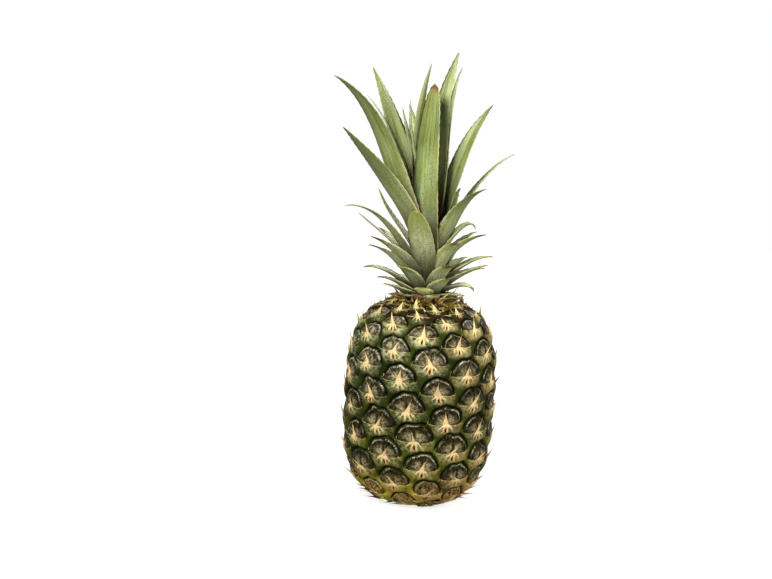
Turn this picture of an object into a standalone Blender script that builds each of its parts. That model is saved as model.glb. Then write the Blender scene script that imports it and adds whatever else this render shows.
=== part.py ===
"""A whole pineapple with its crown, standing on its foot.

Metres, +Z up. The origin is the middle of the foot, -Y is the front and +X is to the right.
The fruit is a barrel of fruitlets on a Fibonacci spiral, each with an eye, a fleshy bract and a spine.
The crown is a short stem with its leaves grown into it. The stalk is the woody cut end underneath.
"""

import math

import bmesh
import bpy
from mathutils import Vector

MM = 0.001

# Barrel of the fruit
FRUIT_HEIGHT = 156 * MM
FRUIT_RADIUS = 57 * MM
WIDEST_HEIGHT = 76 * MM
FOOT_RADIUS = 25 * MM
NECK_RADIUS = 17 * MM
TOP_SQUARENESS = 3.4
BOTTOM_SQUARENESS = 3.0

# Spiral of the fruitlets, as turns and rises on the unrolled barrel, in radians
DIVERGENCE = math.radians(137.9)
RISE = 0.0305
FIRST_TURN = math.radians(-8.9)
FIRST_LIFT = 0.12
RIND_MARGIN = 0.10
FOOT_MARGIN = 0.06
NECK_MARGIN = 0.08
FOOT_CLEARANCE = 0.5 * MM
FOOT_SIDES = 36
NECK_SIDES = 24

# One fruitlet, in radians on the unrolled barrel
EYE_HALF_WIDTH = 0.185
EYE_HALF_HEIGHT = 0.115
EYE_CENTRE = 0.085
EYE_SIDES = 8
EYE_RIM = 0.9
GROOVE_REACH = 1.2
NOSE_DROP = 0.035

# Heights above the barrel
NOSE_HEIGHT = 2.0 * MM
EYE_BULGE = 0.4 * MM
EYE_TILT = 0.8 * MM
GROOVE_DEPTH = 1.9 * MM
BRACT_HEIGHT = 0.8 * MM

# Points of the bract below and beside the nose: turn, lift and share of the bract's height
BRACT_POINTS = ((-0.13, -0.10, 1.0), (0.13, -0.09, 1.0), (0, -0.13, 0.5), (0.262, -0.03, 0.5))

# Spines of the bracts
SPINE_LENGTH = 12 * MM
SPINE_ROOT = 3 * MM
SPINE_WIDTH = 5 * MM
SPINE_THICKNESS = 1.8 * MM
SPINE_WAIST = 0.5
SPINE_WAIST_HEIGHT = 4 * MM
SPINE_LEAN = math.radians(24)
SPINE_CLEAR_RADIUS = 36 * MM
FULL_SPINE_RADIUS = 48 * MM

# Edges that turn by more than this stay sharp
SHARP_ANGLE = math.radians(50)

# Crown
GAP = 0.3 * MM
STEM_HEIGHT = 58 * MM
STEM_FOOT_RADIUS = 13 * MM
STEM_TIP_RADIUS = 4 * MM
STEM_SIDES = 12
LEAF_THICKNESS = 1.1 * MM
LEAF_TIP_WIDTH = 1.4 * MM
LEAF_ROOT_DEPTH = 4 * MM
ROOT_WIDTH = 0.82
WIDEST_SHARE = 0.5
POINTED_TAPER = (2.2, 0.9)
BLUNT_TAPER = (4.0, 0.55)
BIG_CHANNEL = (math.radians(62), math.radians(12))
SMALL_CHANNEL = (math.radians(80), math.radians(35))

# Stalk
STALK_RADIUS = 12 * MM
STALK_HEIGHT = 7 * MM
STALK_SIDES = 24

# Leaves of the crown, lowest first: compass angle from the front in degrees, positive to the right;
# root height on the stem, reach of the tip from the stem's axis and height of the tip above the neck,
# in millimetres; lean from upright at the root and at the tip in degrees; width in millimetres;
# and the turn of the blade about its own length in degrees.
LEAVES = (
    (-52, 1, 36, 8, 80, 85, 15, 0),
    (54, 1, 36, 7, 80, 90, 14, 0),
    (-62, 3, 38, 15, 70, 75, 17, 0),
    (62, 3, 33, 9, 75, 85, 16, 0),
    (-68, 4, 42, 19, 65, 95, 17, 0),
    (72, 5, 38, 12, 60, 150, 17, 0),
    (-78, 6, 51, 25, 60, 105, 18, 0),
    (76, 6, 47, 33, 50, 75, 18, 0),
    (88, 8, 50, 38, 40, 90, 18, 0),
    (-64, 8, 52, 45, 40, 80, 20, -10),
    (-52, 12, 57, 54, 35, 70, 21, -10),
    (66, 12, 47, 58, 10, 75, 20, 10),
    (-85, 12, 56, 66, 15, 50, 16, 0),
    (-68, 15, 71, 74, 30, 100, 20, -10),
    (92, 16, 34, 58, -10, 165, 21, 0),
    (-108, 20, 44, 83, 10, 20, 16, 0),
    (54, 22, 49, 94, 15, 70, 23, 10),
    (-48, 26, 92, 138, 18, 50, 26, -12),
    (-95, 26, 45, 108, 5, 30, 17, 0),
    (115, 28, 67, 114, 25, 65, 13, 0),
    (106, 32, 43, 153, 15, 40, 26, -20),
    (-52, 32, 98, 175, 35, 65, 27, -15),
    (-105, 40, 57, 154, 20, 45, 14, 0),
    (-118, 44, 59, 174, 25, 30, 27, 25),
    (110, 44, 17, 180, 20, 20, 22, 0),
    (152, 46, 27, 190, 0, 35, 26, 0),
    (-125, 48, 9, 182, 30, -20, 22, 0),
    (-100, 54, 22, 154, 15, 0, 12, 0),
    (-130, 54, 36, 145, 5, 15, 13, 0),
    (-135, 4, 38, 14, 70, 95, 16, 0),
    (105, 6, 46, 26, 55, 90, 17, 0),
    (138, 8, 46, 30, 50, 85, 18, 0),
    (-150, 9, 48, 34, 45, 85, 19, 0),
    (125, 12, 44, 52, 35, 75, 20, 0),
    (162, 13, 52, 56, 35, 70, 21, 0),
    (-160, 14, 54, 62, 30, 70, 18, 0),
    (-125, 12, 50, 50, 40, 70, 20, 0),
    (150, 20, 42, 84, 20, 50, 19, 0),
    (-172, 22, 50, 92, 25, 50, 20, 0),
    (-140, 24, 56, 100, 20, 45, 20, 0),
    (168, 34, 36, 138, 12, 35, 23, 0),
    (-152, 36, 48, 146, 12, 30, 24, 0),
)

# Broad blunt leaves in the front, in the same numbers
BLUNT_LEAVES = (
    (-6, 0, 18, 4, 85, 20, 15, 0),
    (18, 0, 18, 5, 85, 10, 15, 0),
    (-30, 0, 17, 8, 80, 0, 17, 0),
    (25, 1, 17, 9, 75, 0, 19, 0),
    (-11, 3, 17, 14, 50, 5, 19, 0),
    (45, 4, 24, 22, 45, 55, 23, 0),
    (-42, 5, 34, 30, 35, 75, 20, 0),
    (40, 6, 28, 33, 30, 60, 21, 0),
    (44, 9, 30, 51, 20, 55, 21, 0),
    (-18, 10, 39, 76, 16, 32, 23, 0),
    (-30, 26, 8, 168, 25, -15, 30, 15),
)

# Scale leaves round the rest of the stem's foot: one row without its angle, and the angles
SCALE_LEAF = (0, 18, 7, 80, 5, 19, 0)
SCALE_ANGLES = range(110, 300, 60)

# Leaves whose tip is higher than this, in millimetres, get the finer grid and the flatter channel
BIG_LEAF_HEIGHT = 60
BIG_LEAF_GRID = (3, 5)
SMALL_LEAF_GRID = (2, 3)


def clear_scene():
    for old in list(bpy.data.objects):
        bpy.data.objects.remove(old, do_unlink=True)


def new_collection(name):
    made = bpy.data.collections.new(name)
    bpy.context.scene.collection.children.link(made)
    return made


def finish_of(name, colour, roughness):
    """A plain Principled finish of one colour."""
    made = bpy.data.materials.new(name)
    made.use_nodes = True
    shader = made.node_tree.nodes["Principled BSDF"]
    shader.inputs["Base Color"].default_value = (*colour, 1.0)
    shader.inputs["Roughness"].default_value = roughness
    shader.inputs["Metallic"].default_value = 0.0
    return made


def object_of(name, shape, collection, material=None):
    """A new object in the collection, from a bmesh that is freed."""
    mesh = bpy.data.meshes.new(name)
    shape.to_mesh(mesh)
    shape.free()
    made = bpy.data.objects.new(name, mesh)
    collection.objects.link(made)
    if material:
        mesh.materials.append(material)
    return made


def barrel(turn):
    """Radius and height of the barrel's outline, for a turn from -90 degrees below to 90 above."""
    if turn > 0:
        squareness = TOP_SQUARENESS
        neck_share = 1 - (NECK_RADIUS / FRUIT_RADIUS) ** squareness
        half = (FRUIT_HEIGHT - WIDEST_HEIGHT) / neck_share ** (1 / squareness)
    else:
        squareness = BOTTOM_SQUARENESS
        foot_share = 1 - (FOOT_RADIUS / FRUIT_RADIUS) ** squareness
        half = WIDEST_HEIGHT / foot_share ** (1 / squareness)
    across = FRUIT_RADIUS * math.cos(turn) ** (2 / squareness)
    along = half * abs(math.sin(turn)) ** (2 / squareness)
    return across, WIDEST_HEIGHT + math.copysign(along, turn)


def unrolled_outline(steps=4000):
    """Points (lift, radius, height) up the barrel. Lift is 0 at the widest height. Above it, it is the
    distance up the rind over the radius, which keeps the shape of a fruitlet as the barrel narrows.
    Below it, the rows stay as tall as at the widest height."""
    points = []
    lift = 0.0
    last = None
    for i in range(steps + 1):
        radius, height = barrel(math.radians(-89.9 + 179.8 * i / steps))
        if height < 0 or height > FRUIT_HEIGHT:
            continue
        if last:
            length = math.hypot(radius - last[0], height - last[1])
            lift += length / (FRUIT_RADIUS if height < WIDEST_HEIGHT else (radius + last[0]) / 2)
        points.append((lift, radius, height))
        last = (radius, height)
    widest = min(points, key=lambda p: abs(p[2] - WIDEST_HEIGHT))[0]
    return [(lift - widest, radius, height) for lift, radius, height in points]


OUTLINE = unrolled_outline()
LOWEST_LIFT = OUTLINE[0][0]
HIGHEST_LIFT = OUTLINE[-1][0]


def on_outline(lift):
    """Radius, height and outward slope of the barrel at a lift."""
    low, high = 0, len(OUTLINE) - 1
    while high - low > 1:
        middle = (low + high) // 2
        if OUTLINE[middle][0] > lift:
            high = middle
        else:
            low = middle
    a, b = OUTLINE[low], OUTLINE[high]
    share = min(max((lift - a[0]) / (b[0] - a[0]), 0.0), 1.0)
    run = Vector((b[1] - a[1], b[2] - a[2])).normalized()
    return a[1] + share * (b[1] - a[1]), a[2] + share * (b[2] - a[2]), run


def on_rind(turn, lift, height=0.0):
    """Point on the rind. Turn is 0 at the front and grows to the right."""
    radius, level, run = on_outline(lift)
    radius += height * run.y
    level -= height * run.x
    return Vector((radius * math.sin(turn), -radius * math.cos(turn), level))


def rind_frame(turn, lift):
    """Directions on the rind: to the right, up the rind and straight out."""
    run = on_outline(lift)[2]
    outward = Vector((math.sin(turn), -math.cos(turn), 0))
    up = outward * run.x + Vector((0, 0, run.y))
    right = Vector((math.cos(turn), math.sin(turn), 0))
    return right, up, right.cross(up)


def fruitlets():
    """Turn and lift of each fruitlet's nose, where its spine grows, from the foot to the neck."""
    lowest = math.ceil((LOWEST_LIFT + RIND_MARGIN - FIRST_LIFT) / RISE)
    highest = math.floor((HIGHEST_LIFT - 2 * RIND_MARGIN - FIRST_LIFT) / RISE)
    for n in range(lowest, highest + 1):
        yield (FIRST_TURN + n * DIVERGENCE) % math.tau, FIRST_LIFT + n * RISE


def fruitlet_points():
    """Points of one fruitlet round its nose: (turn, lift, height above the barrel)."""
    points = [(0, -NOSE_DROP, NOSE_HEIGHT), (0, EYE_CENTRE, EYE_BULGE)]
    for side in range(EYE_SIDES):
        angle = math.tau * side / EYE_SIDES
        across = EYE_HALF_WIDTH * math.cos(angle)
        along = EYE_HALF_HEIGHT * math.sin(angle)
        points.append((EYE_RIM * across, EYE_CENTRE + EYE_RIM * along, -EYE_TILT * math.sin(angle)))
        below = max(0.0, -math.sin(angle)) ** 2
        groove = -GROOVE_DEPTH * (1 - below) + BRACT_HEIGHT * below
        is_behind_nose = angle == 0.75 * math.tau
        if not is_behind_nose:
            points.append((GROOVE_REACH * across, EYE_CENTRE + GROOVE_REACH * along, groove))
    return points + [(turn, lift, share * BRACT_HEIGHT) for turn, lift, share in BRACT_POINTS]


def ring_points(lift, count):
    return [(math.tau * i / count, lift, 0.0) for i in range(count)]


def rind_points():
    """Every point of the rind, with the foot's and the neck's edges."""
    points = ring_points(LOWEST_LIFT, FOOT_SIDES) + ring_points(HIGHEST_LIFT, NECK_SIDES)
    for nose_turn, nose_lift in fruitlets():
        for turn, lift, height in fruitlet_points():
            inside = LOWEST_LIFT + FOOT_MARGIN < nose_lift + lift < HIGHEST_LIFT - NECK_MARGIN
            if inside:
                points.append((nose_turn + turn, nose_lift + lift, height))
    return points


def fruit_body(collection, cutters, material):
    """The rind's points are joined by their convex hull on a ball, where the unrolled barrel keeps
    its angles, and each point then moves to its place on the barrel."""
    shape = bmesh.new()
    places = {}
    for turn, lift, height in rind_points():
        latitude = 2 * math.atan(math.exp(lift)) - math.pi / 2
        level = math.cos(latitude)
        ball = Vector((level * math.sin(turn), -level * math.cos(turn), math.sin(latitude)))
        place = on_rind(turn, lift, height)
        place.z = 0.0 if lift == LOWEST_LIFT else max(place.z, FOOT_CLEARANCE)
        places[shape.verts.new(ball)] = place
    bmesh.ops.convex_hull(shape, input=shape.verts[:])
    for vert, place in places.items():
        vert.co = place
    foot = [f for f in shape.faces if all(v.co.z < FOOT_CLEARANCE / 2 for v in f.verts)]
    bmesh.ops.dissolve_faces(shape, faces=foot)
    bmesh.ops.recalc_face_normals(shape, faces=shape.faces[:])
    body = object_of("fruit", shape, collection, material)
    cut = body.modifiers.new("stalk_socket", "BOOLEAN")
    cut.operation = "DIFFERENCE"
    cut.object = stalk_socket(cutters)
    return body


def stalk_socket(cutters):
    """The cutter that leaves room for the stalk in the foot."""
    radius, top = STALK_RADIUS + GAP, STALK_HEIGHT + GAP
    cutter = turned("stalk_socket", [(0, -top), (radius, -top), (radius, top), (0, top)],
                    STALK_SIDES, cutters)
    cutter.hide_render = True
    cutter.display_type = "WIRE"
    return cutter


def turned(name, outline, sides, collection, material=None):
    """A closed shape turned about +Z from points (radius, height), lowest first."""
    shape = bmesh.new()
    verts = [shape.verts.new((radius, 0, height)) for radius, height in outline]
    edges = [shape.edges.new(pair) for pair in zip(verts, verts[1:])]
    bmesh.ops.spin(shape, geom=verts + edges, axis=(0, 0, 1), cent=(0, 0, 0), dvec=(0, 0, 0),
                   angle=math.tau, steps=sides, use_merge=True, use_duplicate=False)
    bmesh.ops.remove_doubles(shape, verts=shape.verts[:], dist=1e-5)
    bmesh.ops.recalc_face_normals(shape, faces=shape.faces[:])
    return object_of(name, shape, collection, material)


def spine(turn, lift, collection, material):
    """A flat tapering spine that grows from a fruitlet's nose and leans up over its eye."""
    right, up, outward = rind_frame(turn, lift)
    root = on_rind(turn, lift - NOSE_DROP, NOSE_HEIGHT)
    along = up * math.cos(SPINE_LEAN) + outward * math.sin(SPINE_LEAN)
    face = right.cross(along)
    size = min(1.0, on_outline(lift)[0] / FULL_SPINE_RADIUS)
    shape = bmesh.new()
    bmesh.ops.create_cone(shape, cap_ends=True, segments=4, radius1=1, radius2=0, depth=2)
    bmesh.ops.bisect_plane(shape, geom=shape.verts[:] + shape.edges[:] + shape.faces[:], dist=1e-6,
                           plane_co=(0, 0, 0), plane_no=(0, 0, 1))
    rings = {-1: (-SPINE_ROOT, 1.0), 0: (SPINE_WAIST_HEIGHT, 2 * SPINE_WAIST), 1: (SPINE_LENGTH, 1.0)}
    for vert in shape.verts:
        length, widen = rings[round(vert.co.z)]
        vert.co = root + size * (along * length + right * vert.co.x * widen * SPINE_WIDTH / 2
                                 + face * vert.co.y * widen * SPINE_THICKNESS / 2)
    bmesh.ops.remove_doubles(shape, verts=shape.verts[:], dist=1e-5)
    bmesh.ops.recalc_face_normals(shape, faces=shape.faces[:])
    return object_of("spine", shape, collection, material)


def leaf_width(share, width, taper_from, taper_power):
    """Width of a leaf at a share of its length from root to tip."""
    swell = 1 - (1 - ROOT_WIDTH) * (1 - math.sin(math.pi * min(share / WIDEST_SHARE, 1.0) / 2))
    taper = (1 - share ** taper_from) ** taper_power
    return max(LEAF_TIP_WIDTH, width * swell * taper)


def leaf_curve(outward, root_height, reach, tip_height, root_lean, tip_lean):
    """The four control points of the curve that a leaf grows on, from inside the stem to its tip."""
    def leaning(angle):
        return outward * math.sin(math.radians(angle)) + Vector((0, 0, math.cos(math.radians(angle))))

    neck = Vector((0, 0, FRUIT_HEIGHT + GAP))
    stem_radius = STEM_FOOT_RADIUS + (STEM_TIP_RADIUS - STEM_FOOT_RADIUS) * root_height * MM / STEM_HEIGHT
    start = neck + outward * (stem_radius - LEAF_ROOT_DEPTH) + Vector((0, 0, root_height * MM))
    end = neck + outward * reach * MM + Vector((0, 0, tip_height * MM))
    pull = (end - start).length / 3
    return start, start + leaning(root_lean) * pull, end - leaning(tip_lean) * pull, end


def along_curve(points, share):
    """Place and heading on a curve of four control points."""
    a, b, c, d = points
    rest = 1 - share
    place = a * rest ** 3 + b * 3 * rest ** 2 * share + c * 3 * rest * share ** 2 + d * share ** 3
    heading = (b - a) * rest ** 2 + (c - b) * 2 * rest * share + (d - c) * share ** 2
    return place, heading.normalized()


def leaf(azimuth, root_height, reach, tip_height, root_lean, tip_lean, width, twist, taper, collection,
         material):
    """A leaf, channelled towards the stem, with its root sunk in the stem."""
    turn, twist = math.radians(azimuth), math.radians(twist)
    outward = Vector((math.sin(turn), -math.cos(turn), 0))
    sideways = Vector((math.cos(turn), math.sin(turn), 0))
    curve = leaf_curve(outward, root_height, reach, tip_height, root_lean, tip_lean)
    is_big = tip_height > BIG_LEAF_HEIGHT
    across, along = BIG_LEAF_GRID if is_big else SMALL_LEAF_GRID
    at_root, at_tip = BIG_CHANNEL if is_big else SMALL_CHANNEL
    shape = bmesh.new()
    bmesh.ops.create_grid(shape, x_segments=across, y_segments=along, size=1)
    bmesh.ops.triangulate(shape, faces=shape.faces[:], quad_method="FIXED")
    for vert in shape.verts:
        share = (vert.co.y + 1) / 2
        middle, heading = along_curve(curve, share)
        outside = sideways.cross(heading)
        turned_by = twist * min(1, 2 * share)
        blade = sideways * math.cos(turned_by) + outside * math.sin(turned_by)
        back = outside * math.cos(turned_by) - sideways * math.sin(turned_by)
        half_angle = at_tip + (at_root - at_tip) * (1 - share)
        curve_radius = leaf_width(share, width * MM, *taper) / (2 * half_angle)
        angle = half_angle * vert.co.x
        vert.co = (middle + blade * curve_radius * math.sin(angle)
                   - back * curve_radius * (1 - math.cos(angle)))
    made = object_of("leaf", shape, collection, material)
    thicken = made.modifiers.new("thicken", "SOLIDIFY")
    thicken.thickness = LEAF_THICKNESS
    thicken.offset = -1
    return made


def keep_outer_skin(mesh):
    """Leaves only the largest closed skin, so a hollow that the fusing sealed is filled."""
    shape = bmesh.new()
    shape.from_mesh(mesh)
    unseen = set(shape.verts)
    skins = []
    while unseen:
        skin, front = set(), [unseen.pop()]
        while front:
            vert = front.pop()
            skin.add(vert)
            for edge in vert.link_edges:
                other = edge.other_vert(vert)
                if other in unseen:
                    unseen.discard(other)
                    front.append(other)
        skins.append(skin)
    outer = max(skins, key=len)
    spare = [vert for skin in skins if skin is not outer for vert in skin]
    bmesh.ops.delete(shape, geom=spare, context="VERTS")
    shape.to_mesh(mesh)
    shape.free()


def join(base, repeats):
    """Fuses a collection of repeats into the object that they grow from, and removes them."""
    union = base.modifiers.new("join", "BOOLEAN")
    union.operation = "UNION"
    union.operand_type = "COLLECTION"
    union.collection = repeats
    union.solver = "MANIFOLD"
    bpy.context.view_layer.update()
    evaluated = base.evaluated_get(bpy.context.evaluated_depsgraph_get())
    fused = bpy.data.meshes.new_from_object(evaluated)
    base.modifiers.clear()
    base.data = fused
    keep_outer_skin(fused)
    for piece in list(repeats.objects):
        bpy.data.objects.remove(piece, do_unlink=True)
    bpy.data.collections.remove(repeats)


clear_scene()
parts = new_collection("pineapple")
cutters = new_collection("cutters")
rind_finish = finish_of("rind", (0.16, 0.19, 0.06), 0.5)
bract_finish = finish_of("bract", (0.62, 0.47, 0.26), 0.7)
leaf_finish = finish_of("leaf", (0.28, 0.36, 0.17), 0.5)
stalk_finish = finish_of("stalk", (0.55, 0.42, 0.24), 0.8)

fruit = fruit_body(parts, cutters, rind_finish)
spines = new_collection("spines")
for nose_turn, nose_lift in fruitlets():
    if on_outline(nose_lift)[0] > SPINE_CLEAR_RADIUS:
        spine(nose_turn, nose_lift, spines, bract_finish)
join(fruit, spines)

crown_foot = FRUIT_HEIGHT + GAP
crown_top = FRUIT_HEIGHT + STEM_HEIGHT
crown = turned("crown", [(0, crown_foot), (STEM_FOOT_RADIUS, crown_foot), (STEM_TIP_RADIUS, crown_top),
                         (0, crown_top)], STEM_SIDES, parts, leaf_finish)
leaves = new_collection("leaves")
for row in LEAVES:
    leaf(*row, POINTED_TAPER, leaves, leaf_finish)
for row in BLUNT_LEAVES:
    leaf(*row, BLUNT_TAPER, leaves, leaf_finish)
for azimuth in SCALE_ANGLES:
    leaf(azimuth, *SCALE_LEAF, POINTED_TAPER, leaves, leaf_finish)
join(crown, leaves)

stalk = turned("stalk", [(0, 0), (STALK_RADIUS, 0), (STALK_RADIUS, STALK_HEIGHT), (0, STALK_HEIGHT)],
               STALK_SIDES, parts, stalk_finish)

for node in parts.objects:
    node.data.shade_smooth()
    node.data.set_sharp_from_angle(angle=SHARP_ANGLE)
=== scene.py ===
"""The looks of a whole pineapple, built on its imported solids.

Metres, +Z up, with the front at -Y. The rind is one closed skin with eyes, grooves and fleshy bracts in
relief. Papery spines grow on it, leaves grow on the crown's stem, and dry bits hang at the neck and foot.
"""

import math
import random

import bmesh
import bpy
import numpy as np
from mathutils import Matrix, Vector


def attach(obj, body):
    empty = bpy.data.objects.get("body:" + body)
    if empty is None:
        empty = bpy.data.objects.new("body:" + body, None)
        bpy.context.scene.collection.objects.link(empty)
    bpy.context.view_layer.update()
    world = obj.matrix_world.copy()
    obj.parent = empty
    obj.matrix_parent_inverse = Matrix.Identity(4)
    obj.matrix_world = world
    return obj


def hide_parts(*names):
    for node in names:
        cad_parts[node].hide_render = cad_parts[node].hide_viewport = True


MM = 0.001

# Barrel of the fruit, as in the solids
FRUIT_HEIGHT = 156 * MM
FRUIT_RADIUS = 57 * MM
WIDEST_HEIGHT = 76 * MM
FOOT_RADIUS = 25 * MM
NECK_RADIUS = 17 * MM
TOP_SQUARENESS = 3.4
BOTTOM_SQUARENESS = 3.0
GAP = 0.3 * MM

# Spiral of the fruitlets, as in the solids, in radians on the unrolled barrel
DIVERGENCE = math.radians(137.9)
RISE = 0.0305
FIRST_TURN = math.radians(-8.9)
FIRST_LIFT = 0.12
RIND_MARGIN = 0.10
NOSE_DROP = 0.035
NOSE_HEIGHT = 2.0 * MM

# Skin of the fruit: its grid, then eyes and bracts in radians on the unrolled barrel
SKIN_COLUMNS = 400
SKIN_ROWS = 232
EYE_HALF_WIDTH = 0.219
EYE_HEIGHT = 0.232
BASE_DROP = -0.014
CUSP_HEIGHT = 0.026
EYE_SIZES = (0.93, 1.06)
EYE_SKEW = 0.15
RIM_WAVES = (2, 3, 5)
SHARE_WITHOUT_SLIT = 0.35
BRACT_TOP = 2.1 * MM
FULL_RELIEF_RADIUS = 50 * MM

# Papery spines on the bracts' noses: leafy ones stand near the neck, and none stands near the axis
SPINE_RADIUS = 24 * MM
SPINE_LOWEST = 4 * MM
LEAFY_RADIUS = 46 * MM
FULL_SPINE_RADIUS = 48 * MM
SPINE_LENGTH = 14.5 * MM
SPINE_WIDTH = 8.5 * MM
LEAFY_SPINE_WIDTH = 13 * MM
SPINE_THICKNESS = 1.5 * MM
SPINE_STEPS = 9
POINT_AROUND = 6

# Papery margins of the bracts
EDGE_HALF_WIDTH = 0.245
EDGE_WIDTH = 1.5 * MM
EDGE_THICKNESS = 0.35 * MM
EDGE_RIPPLE = 0.15 * MM
EDGE_AROUND = 4
EDGE_STEPS = 16

# Dry shreds
NECK_SHREDS = 170
SHOULDER_SHREDS = 130
FOOT_SHREDS = 110
SHRED_LENGTH = 12 * MM
SHRED_THICKNESS = 0.7 * MM
SHRED_STEPS = 6

# Stalk and its socket
STALK_RADIUS = 12 * MM
STALK_HEIGHT = 7 * MM

# Crown, as in the solids
STEM_HEIGHT = 58 * MM
STEM_FOOT_RADIUS = 13 * MM
STEM_TIP_RADIUS = 4 * MM
LEAF_THICKNESS = 1.1 * MM
LEAF_ROOT_DEPTH = 4 * MM
LEAF_STEP = 2.6 * MM
LEAF_STEPS = (14, 48)
LEAF_AROUND = 16
TOOTH_DEPTH = 0.35 * MM
ROOT_WIDTH = 0.82
WIDEST_SHARE = 0.5
POINTED_TAPER = (2.2, 0.9)
BLUNT_TAPER = (4.0, 0.55)
BIG_CHANNEL = (math.radians(62), math.radians(12))
SMALL_CHANNEL = (math.radians(80), math.radians(35))

# Leaves as in the solids, lowest first: compass angle from the front in degrees, positive to the right;
# root height on the stem, reach of the tip and height of the tip above the neck, in millimetres; lean
# from upright at the root and at the tip in degrees; width in millimetres; turn of the blade in degrees.
LEAVES = (
    (-52, 1, 36, 8, 80, 85, 15, 0),
    (54, 1, 36, 7, 80, 90, 14, 0),
    (-62, 3, 38, 15, 70, 75, 17, 0),
    (62, 3, 33, 9, 75, 85, 16, 0),
    (-68, 4, 42, 19, 65, 95, 17, 0),
    (72, 5, 38, 12, 60, 150, 17, 0),
    (-78, 6, 51, 25, 60, 105, 18, 0),
    (76, 6, 47, 33, 50, 75, 18, 0),
    (88, 8, 50, 38, 40, 90, 18, 0),
    (-64, 8, 52, 45, 40, 80, 20, -10),
    (-52, 12, 57, 54, 35, 70, 21, -10),
    (66, 12, 47, 58, 10, 75, 20, 10),
    (-85, 12, 56, 66, 15, 50, 16, 0),
    (-68, 15, 71, 74, 30, 100, 20, -10),
    (92, 16, 34, 58, -10, 165, 21, 0),
    (-108, 20, 44, 83, 10, 20, 16, 0),
    (54, 22, 49, 94, 15, 70, 23, 10),
    (-48, 26, 92, 138, 18, 50, 26, -12),
    (-95, 26, 45, 108, 5, 30, 17, 0),
    (115, 28, 67, 114, 25, 65, 13, 0),
    (106, 32, 43, 153, 15, 40, 26, -20),
    (-52, 32, 98, 175, 35, 65, 27, -15),
    (-105, 40, 57, 154, 20, 45, 14, 0),
    (-118, 44, 59, 174, 25, 30, 27, 25),
    (110, 44, 17, 180, 20, 20, 22, 0),
    (152, 46, 27, 190, 0, 35, 26, 0),
    (-125, 48, 9, 182, 30, -20, 22, 0),
    (-100, 54, 22, 154, 15, 0, 12, 0),
    (-130, 54, 36, 145, 5, 15, 13, 0),
    (-135, 4, 38, 14, 70, 95, 16, 0),
    (105, 6, 46, 26, 55, 90, 17, 0),
    (138, 8, 46, 30, 50, 85, 18, 0),
    (-150, 9, 48, 34, 45, 85, 19, 0),
    (125, 12, 44, 52, 35, 75, 20, 0),
    (162, 13, 52, 56, 35, 70, 21, 0),
    (-160, 14, 54, 62, 30, 70, 18, 0),
    (-125, 12, 50, 50, 40, 70, 20, 0),
    (150, 20, 42, 84, 20, 50, 19, 0),
    (-172, 22, 50, 92, 25, 50, 20, 0),
    (-140, 24, 56, 100, 20, 45, 20, 0),
    (168, 34, 36, 138, 12, 35, 23, 0),
    (-152, 36, 48, 146, 12, 30, 24, 0),
)

# Broad blunt leaves in the front, in the same numbers
BLUNT_LEAVES = (
    (-6, 0, 18, 4, 85, 20, 15, 0),
    (18, 0, 18, 5, 85, 10, 15, 0),
    (-30, 0, 17, 8, 80, 0, 17, 0),
    (25, 1, 17, 9, 75, 0, 19, 0),
    (-11, 3, 17, 14, 50, 5, 19, 0),
    (45, 4, 24, 22, 45, 55, 23, 0),
    (-42, 5, 34, 30, 35, 75, 20, 0),
    (40, 6, 28, 33, 30, 60, 21, 0),
    (44, 9, 30, 51, 20, 55, 21, 0),
    (-18, 10, 39, 76, 16, 32, 23, 0),
    (-30, 26, 8, 168, 25, -15, 30, 15),
)

SCALE_LEAF = (0, 18, 7, 80, 5, 19, 0)
SCALE_ANGLES = range(110, 300, 60)
BIG_LEAF_HEIGHT = 60
WITHERED_LEAF_HEIGHT = 9
WITHERED = 1.5

# Camera: the photograph's frame in pixels, where the aim point lies in it, and how it looks there
FRAME_WIDTH = 772
FRAME_HEIGHT = 579
AIM = Vector((0, 0, 70.2 * MM))
AIM_PIXEL = (418.6, 408.9)
PIXELS_AWAY = 2000
PIXEL_SIZE = 0.78 * MM
ELEVATION = math.radians(15.15)
ROLL = math.radians(3.83)
SENSOR = 36.0

# Lights: name, place, size, power and colour
LIGHT_TARGET = Vector((0, 0, 170.2 * MM))
LIGHTS = (
    ("main_light", (-0.52, -0.95, 0.95), 0.5, 41, (1.0, 0.95, 0.79)),
    ("fill_light", (1.0, -0.45, 0.8), 0.5, 26, (1.0, 0.94, 0.78)),
    ("back_light", (0.3, 0.9, 0.8), 0.6, 10, (1.0, 1.0, 1.0)),
)
SURROUNDING_LIGHT = 0.04
FLOOR_SIZE = 1.2


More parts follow.
